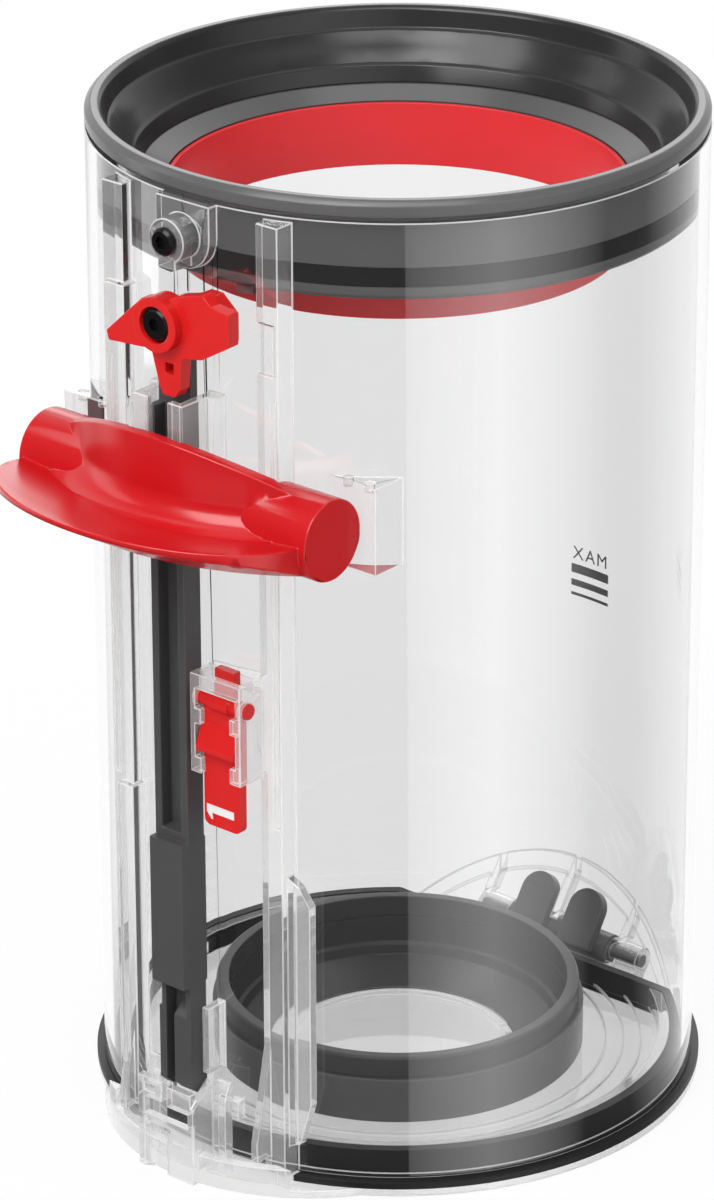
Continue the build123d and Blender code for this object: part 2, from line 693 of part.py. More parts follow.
# Push rod: channel section, sleeve for the return spring, cam slot at the top, forked lower end
SWING = radians(ROCKER_SWING)
PEG_X1 = PEG_X * cos(SWING) - PEG_DROP * sin(SWING)
PEG_Z0 = PIVOT_Z - PEG_DROP
PEG_Z1 = PIVOT_Z - PEG_X * sin(SWING) - PEG_DROP * cos(SWING) + ROD_TRAVEL
CAM_L = sqrt((PEG_X1 - PEG_X) ** 2 + (PEG_Z1 - PEG_Z0) ** 2)
CAM_UX = (PEG_X1 - PEG_X) / CAM_L
CAM_UZ = (PEG_Z1 - PEG_Z0) / CAM_L
CAM_H = PEG_R + RUN
CAM_OUT = 1.5 * ROD_TRAVEL
WEB_Y = ROD_BACK + ROD_WEB
with BuildPart() as push_rod:
    with BuildSketch(Plane.XY.offset(ROD_END)):
        with Locations((0, -(ROD_BACK + ROD_FRONT) / 2)):
            Rectangle(ROD_W, ROD_D)
    extrude(amount=ROD_TOP - ROD_END)
    with BuildSketch(Plane.XY.offset(SLEEVE_LOW)):
        with Locations((0, -(SLEEVE_BACK + SLEEVE_FRONT) / 2)):
            Rectangle(ROD_W, SLEEVE_FRONT - SLEEVE_BACK)
    extrude(amount=SLEEVE_TOP - SLEEVE_LOW)
    # channel above and below the handle pad
    for z0, z1 in ((SLEEVE_TOP + ROD_WEB, GRIP_Z - GRIP_R), (GRIP_Z + GRIP_R, ROD_TOP)):
        with BuildSketch(Plane.XY.offset(z0)):
            with Locations((0, -(WEB_Y + SLEEVE_FRONT) / 2)):
                Rectangle(ROD_GROOVE, SLEEVE_FRONT - WEB_Y)
        extrude(amount=z1 - z0, mode=Mode.SUBTRACT)
    # flanges cut down behind the rocker tail, and the slanting cam slot for its peg
    with BuildSketch(Plane.XY.offset(PEG_Z0 - 2 * PEG_R - 2 * RUN - ROD_TRAVEL / 3)):
        with Locations((0, -(WEB_Y + SLEEVE_FRONT) / 2)):
            Rectangle(ROD_W + RUN, SLEEVE_FRONT - WEB_Y)
    extrude(amount=PEG_DROP + ROD_TRAVEL, mode=Mode.SUBTRACT)
    with BuildSketch(Plane.XZ.offset(TUBE_R)):
        with Locations((PEG_X, PEG_Z0)):
            Circle(CAM_H)
        with BuildLine():
            Polyline(
                (PEG_X - CAM_UZ * CAM_H, PEG_Z0 + CAM_UX * CAM_H),
                (PEG_X + CAM_UZ * CAM_H, PEG_Z0 - CAM_UX * CAM_H),
                (PEG_X + CAM_UZ * CAM_H + CAM_OUT * CAM_UX, PEG_Z0 - CAM_UX * CAM_H + CAM_OUT * CAM_UZ),
                (PEG_X - CAM_UZ * CAM_H + CAM_OUT * CAM_UX, PEG_Z0 + CAM_UX * CAM_H + CAM_OUT * CAM_UZ),
                close=True,
            )
        make_face()
    extrude(amount=TUBE_R, mode=Mode.SUBTRACT)
    # spring chamber in the sleeve, open at the back
    CHAMBER_LOW = SLEEVE_LOW + SLEEVE_WALL + BREAK
    with BuildSketch(Plane.XY.offset(CHAMBER_LOW)):
        with Locations((0, -(TUBE_R + SLEEVE_FRONT - SLEEVE_WALL) / 2)):
            Rectangle(ROD_W - 2.2, SLEEVE_FRONT - SLEEVE_WALL - TUBE_R)
    extrude(amount=SLEEVE_TOP - SLEEVE_WALL - RUN / 2 - CHAMBER_LOW, mode=Mode.SUBTRACT)
    # lower end: a narrow groove between a thin and a thick flange, the thick one with a sloped top
    with BuildSketch(Plane.XY.offset(ROD_END)):
        with Locations((-FORK_SLOT / 2 - 0.2, -(WEB_Y + SLEEVE_FRONT) / 2)):
            Rectangle(FORK_SLOT, SLEEVE_FRONT - WEB_Y)
    extrude(amount=SLEEVE_LOW - ROD_END, mode=Mode.SUBTRACT)
    with BuildSketch(Plane.YZ.offset(-FORK_SLOT / 2)):
        with BuildLine():
            Polyline(
                (-WEB_Y, SLEEVE_LOW),
                (-WEB_Y, FORK_TOP + ROD_WEB),
                (-ROD_FRONT - BREAK, FORK_TOP - ROD_WEB),
                (-ROD_FRONT - BREAK, SLEEVE_LOW),
                close=True,
            )
        make_face()
    extrude(amount=NECK_W / 2 + FORK_SLOT / 4, mode=Mode.SUBTRACT)
    with BuildSketch(Plane.XY.offset(FORK_TOP)):
        with Locations((-(NECK_W + ROD_W) / 4 - BREAK / 2, -(TUBE_R + REACH) / 2)):
            Rectangle((ROD_W - NECK_W) / 2 + BREAK, REACH - TUBE_R)
    extrude(amount=SLEEVE_LOW - FORK_TOP, mode=Mode.SUBTRACT)
    # wedge at the front of the tip, which spreads the latch of the door
    chamfer(edges().filter_by(Axis.X).group_by(Axis.Z)[0].group_by(Axis.Y)[0], ROD_WEB)
push_rod.part.label = "push_rod"
export_step(push_rod.part, "parts/push_rod.step")

# Return spring inside the sleeve
with BuildPart() as rod_spring:
    with BuildLine():
        Helix(
            pitch=(SPRING_TOP - SPRING_LOW - 2 * SPRING_WIRE) / SPRING_TURNS,
            height=SPRING_TOP - SPRING_LOW - 2 * SPRING_WIRE,
            radius=SPRING_R,
            center=(0, -SPRING_Y, SPRING_LOW + SPRING_WIRE),
        )
    with BuildSketch(Plane(origin=(SPRING_R, -SPRING_Y, SPRING_LOW + SPRING_WIRE), z_dir=(0, 1, 0))):
        Rectangle(2 * SPRING_WIRE, 2 * SPRING_WIRE)
    sweep(is_frenet=True)
rod_spring.part.label = "rod_spring"
export_step(rod_spring.part, "parts/rod_spring.step")

# Push handle: a visor that curves down into a dished tray, all turned about one upright axis and
# trimmed to its outline, two round end grips and the pad that fixes it to the rod
with BuildPart() as push_handle:
    with BuildSketch(Plane(origin=(0, -SHELL_AXIS, 0), x_dir=(0, -1, 0), z_dir=(-1, 0, 0))):
        with BuildLine():
            BEND_Z = SHELF_Z + SCOOP_R
            RIM_Z = SHELF_Z + TRAY_RISE
            TRAY_R = TRAY_Y + TRAY_B - SHELL_AXIS
            Line((SHELL_R, VISOR_TOP), (SHELL_FRONT, VISOR_TOP))
            Line((SHELL_FRONT, VISOR_TOP), (SHELL_FRONT, BEND_Z))
            ThreePointArc(
                (SHELL_FRONT, BEND_Z),
                (SHELL_FRONT + SCOOP_R * (1 - sqrt(0.5)), BEND_Z - SCOOP_R * sqrt(0.5)),
                (SHELL_FRONT + SCOOP_R, SHELF_Z),
            )
            Line((SHELL_FRONT + SCOOP_R, SHELF_Z), (TRAY_R, RIM_Z))
            Line((TRAY_R, RIM_Z), (TRAY_R, RIM_Z - TRAY_T))
            Line((TRAY_R, RIM_Z - TRAY_T), (HULL_R, SHELF_Z - HULL_H))
            Line((HULL_R, SHELF_Z - HULL_H), (SHELL_R, SHELF_Z - HULL_H))
            Line((SHELL_R, SHELF_Z - HULL_H), (SHELL_R, VISOR_TOP))
        make_face()
    revolve(axis=Axis((0, -SHELL_AXIS, 0), (0, 0, 1)), revolution_arc=360)
    with BuildSketch(Plane.XY.offset(SHELF_Z - HULL_H)):
        with Locations((0, -TRAY_Y)):
            Ellipse(TRAY_A, TRAY_B)
        with Locations((0, -(TRAY_Y + TRAY_BACK) / 2)):
            Rectangle(2 * TRAY_A, TRAY_Y - TRAY_BACK)
        with Locations((0, REACH / 2 - TRAY_BACK)):
            Rectangle(REACH, REACH, mode=Mode.SUBTRACT)
    extrude(amount=HULL_H + VISOR_TOP, mode=Mode.INTERSECT)
    with BuildSketch(Plane.XZ):
        with Locations((0, VISOR_TOP - VISOR_R)):
            Circle(VISOR_R)
    extrude(amount=REACH, mode=Mode.INTERSECT)
    for s in (-1, 1):
        with BuildSketch(Plane.YZ.offset(s * GRIP_IN)):
            with Locations((-GRIP_Y, GRIP_Z)):
                Circle(GRIP_R)
        extrude(amount=s * (GRIP_END - GRIP_IN))
    # backs of the grips keep clear of the tube, the rails and the rod guides
    with BuildSketch(Plane.XY.offset(GRIP_Z - 2 * GRIP_R)):
        Circle(TUBE_R + GRIP_GAP)
        with Locations((0, -(RAIL_FACE + GRIP_GAP) / 2)):
            Rectangle(2 * (RAIL_OUT + GRIP_GAP), RAIL_FACE + GRIP_GAP)
        with Locations((0, -SHELL_BACK / 2)):
            Rectangle(2 * (GUIDE_IN + GUIDE_T + RUN), SHELL_BACK)
    extrude(amount=4 * GRIP_R, mode=Mode.SUBTRACT)
    with BuildSketch(Plane.XZ.offset(ROD_FRONT)):
        with Locations((0, GRIP_Z + BREAK)):
            Rectangle(2 * (LIP_IN - RUN), 1.6 * GRIP_R)
    extrude(amount=SHELL_BACK + SHELL_T / 2 - ROD_FRONT)
push_handle.part.label = "push_handle"
export_step(push_handle.part, "parts/push_handle.step")

# Removal catch: pivot bar, nib above it, and a plate that bulges and ends in a tongue
PLATE_Y = CATCH_Y + 0.6
BULGE_Z = CATCH_Z - 8.6
TONGUE_Z = CATCH_Z - 25.6
with BuildPart() as bin_catch:
    with BuildSketch(Plane.YZ.offset(CATCH_X - CATCH_W / 2)):
        with BuildLine():
            Polyline(
                (-PLATE_Y + CATCH_T, CATCH_Z),
                (-PLATE_Y, CATCH_Z),
                (-PLATE_Y, BULGE_Z + 2 * BULGE),
                (-PLATE_Y - BULGE, BULGE_Z),
                (-PLATE_Y - BULGE, BULGE_Z - BULGE / 2),
                (-PLATE_Y, BULGE_Z - BULGE),
                (-PLATE_Y, TONGUE_Z),
                (-PLATE_Y + CATCH_T, TONGUE_Z),
                close=True,
            )
        make_face()
    extrude(amount=CATCH_W)
    fillet(edges().filter_by(Axis.Y).group_by(Axis.Z)[0], CATCH_W / 6)
    # neck and nib, narrower than the plate
    with BuildSketch(Plane.YZ.offset(CATCH_X - CATCH_NECK / 2)):
        with Locations((-CATCH_Y, CATCH_Z)):
            Circle(CATCH_BAR_R + RUN)
        with Locations((-CATCH_Y + CATCH_T / 2 + RUN, CATCH_Z + CHEEK_TOP / 2 - CATCH_Z / 2 + BREAK / 2)):
            Rectangle(CATCH_T, CHEEK_TOP - CATCH_Z + BREAK)
    extrude(amount=CATCH_NECK)
    with BuildSketch(Plane.YZ.offset(CHEEK_LEFT)):
        with Locations((-CATCH_Y, CATCH_Z)):
            Circle(CATCH_BAR_R)
    extrude(amount=CHEEK_SPAN + RUN)
bin_catch.part.label = "bin_catch"
export_step(bin_catch.part, "parts/bin_catch.step")

# Hinge bracket: barrel with two rounded lobes that lie flat on the sloped panel
LOBE_Y0 = slope_y(0, -PANEL_SINK)
S_TOP = LOBE_TOP * NORM / SLOPE
S_LOW = LOBE_LOW * NORM / SLOPE
with BuildPart() as hinge_bracket:
    with BuildSketch(Plane.YZ.offset(-BARREL_X)):
        with Locations((HINGE_Y, HINGE_Z)):
            Circle(BARREL_R)
    extrude(amount=2 * BARREL_X)
    # the sketch plane's second axis runs down the slope
    with BuildSketch(Plane(origin=(0, LOBE_Y0, 0), x_dir=(1, 0, 0), z_dir=(0, SLOPE / NORM, -1 / NORM))):
        for s in (-1, 1):
            with Locations((s * LOBE_X, -(S_LOW + S_TOP - LOBE_W / 2) / 2)):
                Rectangle(LOBE_W, S_TOP - LOBE_W / 2 - S_LOW)
            with Locations((s * LOBE_X, -(S_TOP - LOBE_W / 2))):
                Circle(LOBE_W / 2)
    extrude(amount=LOBE_T)
    with BuildSketch(Plane.YZ.offset(-BARREL_X)):
        with Locations((HINGE_Y, HINGE_Z)):
            Circle(HINGE_PIN_R)
    extrude(amount=2 * BARREL_X, mode=Mode.SUBTRACT)
    with BuildSketch(Plane.XY):
        Circle(TUBE_R)
    extrude(amount=SLOPE_TOP, mode=Mode.INTERSECT)
hinge_bracket.part.label = "hinge_bracket"
export_step(hinge_bracket.part, "parts/hinge_bracket.step")

# Hinge pin
with BuildPart() as hinge_pin:
    with BuildSketch(Plane.YZ.offset(-BARREL_X - RUN - KNUCKLE_L)):
        with Locations((HINGE_Y, HINGE_Z)):
            Circle(HINGE_PIN_R)
    extrude(amount=2 * (BARREL_X + RUN + KNUCKLE_L))
hinge_pin.part.label = "hinge_pin"
export_step(hinge_pin.part, "parts/hinge_pin.step")

# Base plate of the door: flat disc cut by the hinge chord, raised floor with a round well,
# front foot, catch arms, latch frame, knuckles
KNUCKLE_X = BARREL_X + RUN + KNUCKLE_L / 2
KNUCKLE_ROOT = CHORD_RIM + 0.6
with BuildPart() as base_plate:
    with BuildSketch(Plane.XY):
        Circle(RIM_R)
        with Locations((0, CHORD_RIM + REACH / 2)):
            Rectangle(REACH, REACH, mode=Mode.SUBTRACT)
        for s in (-1, 1):
            with Locations((s * KNUCKLE_X, (CHORD_IN + HINGE_Y) / 2)):
                Rectangle(KNUCKLE_L, HINGE_Y - CHORD_IN)
        with Locations((0, -FOOT_AXIS)):
            Circle(FOOT_R)
    extrude(amount=RIM_T)
    with BuildSketch(Plane.XY.offset(RIM_T)):
        Circle(SEAL_IN - SEAT)
        with Locations((0, CHORD_IN - SEAT + REACH / 2)):
            Rectangle(REACH, REACH, mode=Mode.SUBTRACT)
    extrude(amount=FLOOR_T)
    # upright rim under the seal band
    with BuildSketch(Plane.XY.offset(RIM_T)):
        Circle(SEAL_IN - SEAT)
        with Locations((0, CHORD_IN - SEAT + REACH / 2)):
            Rectangle(REACH, REACH, mode=Mode.SUBTRACT)
        Circle(SEAL_IN - UPRIGHT_T, mode=Mode.SUBTRACT)
    extrude(amount=SEAL_TOP - 0.2 - RIM_T)
    # well inside the ring carrier, with a low notched lip round its flat centre
    with BuildSketch(Plane.XY.offset(WELL_Z)):
        Circle(WELL_R)
    extrude(amount=FLOOR_Z, mode=Mode.SUBTRACT)
    with BuildSketch(Plane.XY.offset(WELL_Z)):
        Circle(WELL_LIP_R)
        Circle(WELL_LIP_R - WELL_LIP_T, mode=Mode.SUBTRACT)
        with Locations((0.56 * WELL_LIP_R, 0.76 * WELL_LIP_R)):
            Rectangle(2 * WELL_LIP_T, 4 * WELL_LIP_T, rotation=-36, mode=Mode.SUBTRACT)
    extrude(amount=WELL_LIP_H)
    # curved lip of the foot, raised to an ear at its left end
    with BuildSketch(Plane.XY):
        with Locations((0, -FOOT_AXIS)):
            Circle(FOOT_R)
            Circle(FOOT_R - FOOT_LIP, mode=Mode.SUBTRACT)
        with Locations((0, REACH / 2 - RIM_R + 0.6)):
            Rectangle(REACH, REACH, mode=Mode.SUBTRACT)
    extrude(amount=FOOT_LIP_H)
    with BuildSketch(Plane.XY):
        with Locations((0, -FOOT_AXIS)):
            Circle(FOOT_R)
            Circle(FOOT_R - FOOT_LIP, mode=Mode.SUBTRACT)
        with Locations((0, REACH / 2 - RIM_R + 0.6)):
            Rectangle(REACH, REACH, mode=Mode.SUBTRACT)
        with Locations((REACH / 2 - RAIL_IN - 3 * RUNNER_W / 4 - RUN, 0)):
            Rectangle(REACH, REACH, mode=Mode.SUBTRACT)
    extrude(amount=FOOT_EAR_H)
    # catch arms with barbed tops
    for s in (-1, 1):
        with BuildSketch(Plane.YZ.offset(s * (ARM_X + BARB) - ARM_W / 2)):
            with BuildLine():
                Polyline(
                    (-ARM_BACK, 0),
                    (-ARM_BACK, KEEPER_Z + KEEPER_H + BREAK),
                    (-ARM_BACK + BARB, KEEPER_Z + KEEPER_H + BREAK),
                    (-ARM_BACK, ARM_TOP),
                    (-ARM_BACK - BARB, ARM_TOP),
                    (-ARM_BACK - ARM_T, ARM_TOP - 3.0),
                    (-ARM_BACK - ARM_T, 0),
                    close=True,
                )
            make_face()
        extrude(amount=ARM_W)
    # latch frame in front of the rod tip: left post, right gusset plate, two blocks and a cross bar
    with BuildSketch(Plane.YZ.offset(LATCH_RIGHT - 0.9 * LATCH_T)):
        with BuildLine():
            Polyline(
                (-ARM_BACK, 0),
                (-ARM_BACK, LATCH_TOP),
                (-ARM_BACK - BREAK, LATCH_TOP + BREAK),
                (-LATCH_FRONT, LATCH_LOW + BREAK),
                (-LATCH_FRONT, 0),
                close=True,
            )
        make_face()
    extrude(amount=0.9 * LATCH_T)
    with BuildSketch(Plane.XZ.offset(LATCH_BACK)):
        with Locations((-LATCH_LEFT + LATCH_T / 2, LATCH_TOP / 2)):
            Rectangle(LATCH_T, LATCH_TOP)
        with Locations((-LATCH_LEFT / 1.6, (LATCH_LOW + LATCH_TOP) / 2)):
            Rectangle(LATCH_LEFT / 1.33, LATCH_TOP - LATCH_LOW)
            Rectangle(LATCH_LEFT / 3, (LATCH_TOP - LATCH_LOW) / 3, mode=Mode.SUBTRACT)
        with Locations((LATCH_RIGHT / 2.6, (LATCH_LOW + LATCH_TOP) / 2 - BREAK / 2)):
            Rectangle(LATCH_RIGHT, LATCH_TOP - LATCH_LOW)
        with Locations(((LATCH_RIGHT - LATCH_LEFT) / 2, LATCH_LOW - 3 * LATCH_T)):
            Rectangle(LATCH_LEFT + LATCH_RIGHT, 1.6 * LATCH_T)
        with Locations((LATCH_RIGHT / 3, LATCH_LOW / 3)):
            Rectangle(LATCH_RIGHT, LATCH_LOW / 1.5)
    extrude(amount=LATCH_T)
    # knuckles on the hinge axis
    for s in (-1, 1):
        with BuildSketch(Plane.YZ.offset(s * (BARREL_X + RUN))):
            with Locations((HINGE_Y, HINGE_Z)):
                Circle(KNUCKLE_R)
            with BuildLine():
                Polyline(
                    (KNUCKLE_ROOT, 0),
                    (HINGE_Y, 0),
                    (HINGE_Y + KNUCKLE_R / 2, HINGE_Z - KNUCKLE_R / 1.4),
                    (HINGE_Y, HINGE_Z),
                    (HINGE_Y - KNUCKLE_R / 1.15, HINGE_Z - KNUCKLE_R / 3),
                    (KNUCKLE_ROOT, RIM_T),
                    close=True,
                )
            make_face()
        extrude(amount=s * KNUCKLE_L)
    with BuildSketch(Plane.YZ.offset(-REACH / 2)):
        with Locations((HINGE_Y, HINGE_Z)):
            Circle(HINGE_PIN_R + PIN_RUN)
    extrude(amount=REACH, mode=Mode.SUBTRACT)
base_plate.part.label = "base_plate"
export_step(base_plate.part, "parts/base_plate.step")

# Rim seal of the door: flat lip under the tube edge and a band inside the tube
with BuildPart() as base_seal:
    with BuildSketch(Plane.XY.offset(RIM_T)):
        Circle(RIM_R)
        with Locations((0, CHORD_RIM - 2 * SEAT + REACH / 2)):
            Rectangle(REACH, REACH, mode=Mode.SUBTRACT)
    extrude(amount=SEAL_LIP)
    with BuildSketch(Plane.XY.offset(RIM_T)):
        Circle(SEAL_R)
        with Locations((0, CHORD_SEAL + REACH / 2)):
            Rectangle(REACH, REACH, mode=Mode.SUBTRACT)
    extrude(amount=SEAL_TOP - RIM_T)
    with BuildSketch(Plane.XY):
        Circle(SEAL_IN)
        with Locations((0, CHORD_IN + REACH / 2)):
            Rectangle(REACH, REACH, mode=Mode.SUBTRACT)
    extrude(amount=HEIGHT, mode=Mode.SUBTRACT)
    # the flat lip stops on either side of the foot
    with BuildSketch(Plane.XY):
        with Locations((0, -REACH / 2)):
            Rectangle(2 * RAIL_OUT, REACH)
        Circle(SEAL_R, mode=Mode.SUBTRACT)
    extrude(amount=HEIGHT, mode=Mode.SUBTRACT)
base_seal.part.label = "base_seal"
export_step(base_seal.part, "parts/base_seal.step")

# Ring carrier on the floor of the door: stepped inner wall that runs down into the well
with BuildPart() as ring_carrier:
    with BuildSketch(Plane.XZ):
        with BuildLine():
            Polyline(
                (WELL_LIP_R + 2 * SEAT, WELL_Z),
                (WELL_R - 2 * SEAT, WELL_Z),
                (WELL_R - 2 * SEAT, FLOOR_Z),
                (RING_R, FLOOR_Z),
                (RING_R, RING_SPLIT),
                (RING_BORE, RING_SPLIT),
                (RING_BORE - 1.0, FLOOR_Z + 4.0),
                (RING_BORE - 1.8, FLOOR_Z + 3.7),
                (RING_BORE - 2.4, FLOOR_Z + 1.8),
                (RING_BORE - 3.2, FLOOR_Z + 1.5),
                (WELL_LIP_R + 2 * SEAT, WELL_Z + WELL_LIP_H / 2),
                close=True,
            )
        make_face()
    revolve(axis=Axis.Z)
ring_carrier.part.label = "ring_carrier"
export_step(ring_carrier.part, "parts/ring_carrier.step")

# Soft ring seal on top of the carrier
with BuildPart() as ring_seal:
    with BuildSketch(Plane.XZ):
        with BuildLine():
            Polyline(
                (RING_BORE, RING_SPLIT),
                (RING_LIP_R, RING_SPLIT),
                (RING_LIP_R, RING_TOP - 0.4),
                (RING_LIP_R - 0.4, RING_TOP),
                (RING_BORE, RING_TOP),
                close=True,
            )
        make_face()
    revolve(axis=Axis.Z)
ring_seal.part.label = "ring_seal"
export_step(ring_seal.part, "parts/ring_seal.step")
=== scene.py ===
# %% [markdown]
# This lesson dresses a clear cyclone dust bin. The CAD frame already holds every moulded piece at its true
# size, so three things are left: to light the bin as a studio does, to give each plastic and rubber its own
# finish, and to add what is printed on the bin. Clear plastic is the hard part, because it shows whatever
# stands around it.

# %% Load the frame
import math

import bpy
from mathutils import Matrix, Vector


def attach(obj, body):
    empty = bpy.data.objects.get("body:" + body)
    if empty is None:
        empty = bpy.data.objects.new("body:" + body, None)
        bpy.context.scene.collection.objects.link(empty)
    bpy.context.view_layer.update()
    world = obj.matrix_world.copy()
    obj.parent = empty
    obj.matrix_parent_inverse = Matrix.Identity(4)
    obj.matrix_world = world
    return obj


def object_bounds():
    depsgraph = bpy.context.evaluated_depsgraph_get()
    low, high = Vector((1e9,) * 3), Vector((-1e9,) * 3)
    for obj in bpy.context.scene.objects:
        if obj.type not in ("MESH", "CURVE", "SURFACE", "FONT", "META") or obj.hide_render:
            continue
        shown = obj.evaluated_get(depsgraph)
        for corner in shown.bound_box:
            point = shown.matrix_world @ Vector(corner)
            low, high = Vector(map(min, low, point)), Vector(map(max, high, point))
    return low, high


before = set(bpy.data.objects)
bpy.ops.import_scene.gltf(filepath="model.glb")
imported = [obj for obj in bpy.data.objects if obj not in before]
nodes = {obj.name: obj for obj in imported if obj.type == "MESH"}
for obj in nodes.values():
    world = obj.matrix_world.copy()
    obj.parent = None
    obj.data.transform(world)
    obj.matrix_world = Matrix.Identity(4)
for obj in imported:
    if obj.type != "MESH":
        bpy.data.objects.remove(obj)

cad_low, cad_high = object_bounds()
bpy.ops.object.select_all(action="DESELECT")
print("bin size, mm:", [round(1000 * (b - a), 1) for a, b in zip(cad_low, cad_high)])

# %% [markdown]
# The photograph looks down on the bin from the latch side, a little to the right, through a long lens. A
# camera could be placed by eye, but the rims of the tube are circles, so its height, distance and lens were
# worked out from how flat their ellipses are. The small shift puts the bin where the picture frames it.

# %% Camera
MM = 0.001
AZIMUTH = math.radians(40)
ELEVATION = math.radians(23.557)
DISTANCE = 1097.46 * MM
LOOK_AT = Vector((0, 0, 100 * MM))
SENSOR_WIDTH = 36
LONG_SIDE_PX = 1200
FOCAL_PX = 5685.93
AXIS_RIGHT_PX = 41.0
AXIS_UP_PX = 10.57


def direction(azimuth, elevation):
    """Unit vector from the bin outwards; azimuth 0 is the latch side, and it grows towards +X."""
    level = math.cos(elevation)
    return Vector((math.sin(azimuth) * level, -math.cos(azimuth) * level, math.sin(elevation)))


def look_from(thing, place):
    """Puts a camera or lamp at a place and turns it towards the middle of the bin."""
    thing.location = place
    thing.rotation_euler = (LOOK_AT - place).to_track_quat("-Z", "Y").to_euler()
    bpy.context.scene.collection.objects.link(thing)


camera_data = bpy.data.cameras.new("photo_camera")
camera_data.sensor_fit = "AUTO"
camera_data.sensor_width = SENSOR_WIDTH
camera_data.lens = FOCAL_PX * SENSOR_WIDTH / LONG_SIDE_PX
camera_data.shift_x = -AXIS_RIGHT_PX / LONG_SIDE_PX
camera_data.shift_y = -AXIS_UP_PX / LONG_SIDE_PX
camera = bpy.data.objects.new("photo_camera", camera_data)
look_from(camera, LOOK_AT + DISTANCE * direction(AZIMUTH, ELEVATION))
bpy.context.scene.camera = camera
print("lens, mm:", round(camera_data.lens, 1))

# %% [markdown]
# Finishes are node trees. Written node by node they are long and hard to read, so one small class wraps a
# socket: sums and products of wires add Math nodes, and one method makes every other node. Values that stay
# the same all over a piece are set straight on the shader's sockets.

# %% A wire for shader maths
class Wire:
    """An output socket in a shader tree."""

    def __init__(self, tree, socket=None):
        self.tree = tree
        self.socket = socket

    def node(self, kind, settings=None, sockets=None, out=0):
        made = self.tree.nodes.new(kind)
        for name, value in (settings or {}).items():
            setattr(made, name, value)
        for name, value in (sockets or {}).items():
            if isinstance(value, Wire):
                self.tree.links.new(value.socket, made.inputs[name])
            else:
                made.inputs[name].default_value = value
        return Wire(self.tree, made.outputs[out]) if made.outputs else made

    def maths(self, operation, first, second):
        return self.node("ShaderNodeMath", {"operation": operation}, {0: first, 1: second})

    def __add__(self, other):
        return self.maths("ADD", self, other)

    def __rsub__(self, other):
        return self.maths("SUBTRACT", other, self)

    def __mul__(self, other):
        return self.maths("MULTIPLY", self, other)

    def greater(self, other):
        return self.maths("MAXIMUM", self, other)

    __radd__ = __add__
    __rmul__ = __mul__


def new_tree(name):
    """An empty material and the wire that starts its tree."""
    material = bpy.data.materials.new(name)
    material.use_nodes = True
    material.node_tree.nodes.clear()
    return material, Wire(material.node_tree)


def ramp(wire, value, ends):
    """0 up to the first end, 1 from the second on."""
    sockets = {"Value": value, "From Min": ends[0], "From Max": ends[1]}
    return wire.node("ShaderNodeMapRange", None, sockets)


def dot(wire, first, second):
    """How far two vectors point the same way."""
    settings = {"operation": "DOT_PRODUCT"}
    return wire.node("ShaderNodeVectorMath", settings, {0: first, 1: second}, out="Value")


def length(wire, vector):
    return wire.node("ShaderNodeVectorMath", {"operation": "LENGTH"}, {0: vector}, out="Value")


def object_place(wire):
    return wire.node("ShaderNodeTexCoord", out="Object")


# %% [markdown]
# A clear tube shows the floor and the room through its walls, and its gloss mirrors them as well, so what a
# ray of light finds there has to depend on what it met on its way. Three questions are enough: was it
# mirrored, was it scattered by a matt surface, or does it come straight from the camera, with nothing but
# clear walls between?

# %% Three questions about a ray
NONE_YET = 0.5  # a count of bounces above this is one or more


def was_mirrored(wire):
    """1 for rays that a surface has mirrored, also when they have passed a clear wall since, else 0."""
    turns = wire.node("ShaderNodeLightPath", out="Glossy Depth")
    return wire.maths("GREATER_THAN", turns, NONE_YET)


def was_scattered(wire):
    """1 for rays that a matt surface has scattered, else 0."""
    turns = wire.node("ShaderNodeLightPath", out="Diffuse Depth")
    return wire.maths("GREATER_THAN", turns, NONE_YET)


def seen_plainly(wire):
    """1 for camera rays and for rays that reached here through clear walls alone, else 0."""
    to_camera = wire.node("ShaderNodeLightPath", out="Is Camera Ray")
    through = wire.node("ShaderNodeLightPath", out="Is Transmission Ray")
    turned = was_scattered(wire).greater(was_mirrored(wire))
    return to_camera.greater(through * (1 - turned))


# %% [markdown]
# The bin stands on a white floor with a soft shadow. The base door swings down past that level, and a solid
# floor would hide it when it is open. So most of what the camera sees there comes through the floor from
# the white room behind it, and only a small share close to the bin is lit, which is enough for the shadow.
# Mirror rays pass as well, because a tall panel shows down the whole length of the tube, and lamps shine
# through to the open door.

# %% Floor
FLOOR_SIZE = 12.0
FLOOR_GAP = 0.05 * MM
FLOOR_COLOUR = (0.90, 0.90, 0.90, 1)
FLOOR_OPEN = 0.92
SHADOW_REACH = (0.12, 0.25)
WHITE = (1, 1, 1, 1)

bpy.ops.mesh.primitive_plane_add(size=FLOOR_SIZE, location=(0, 0, cad_low[2] - FLOOR_GAP))
floor = bpy.context.object
floor.name = "studio_floor"
floor.visible_glossy = False
floor.visible_shadow = False
floor_finish, wire = new_tree("floor_white")
lit = wire.node("ShaderNodeBsdfDiffuse", None, {"Color": FLOOR_COLOUR})
passing = wire.node("ShaderNodeBsdfTransparent", None, {"Color": WHITE})
far_off = ramp(wire, length(wire, object_place(wire)), SHADOW_REACH)
clearing = FLOOR_OPEN + (1 - FLOOR_OPEN) * far_off
open_share = (seen_plainly(wire) * clearing).greater(was_mirrored(wire))
mixed = wire.node("ShaderNodeMixShader", None, {0: open_share, 1: lit, 2: passing})
wire.node("ShaderNodeOutputMaterial", None, {"Surface": mixed})
floor.data.materials.append(floor_finish)
print("floor open to the camera:", FLOOR_OPEN, "at the bin, and wholly from", SHADOW_REACH[1], "m on")

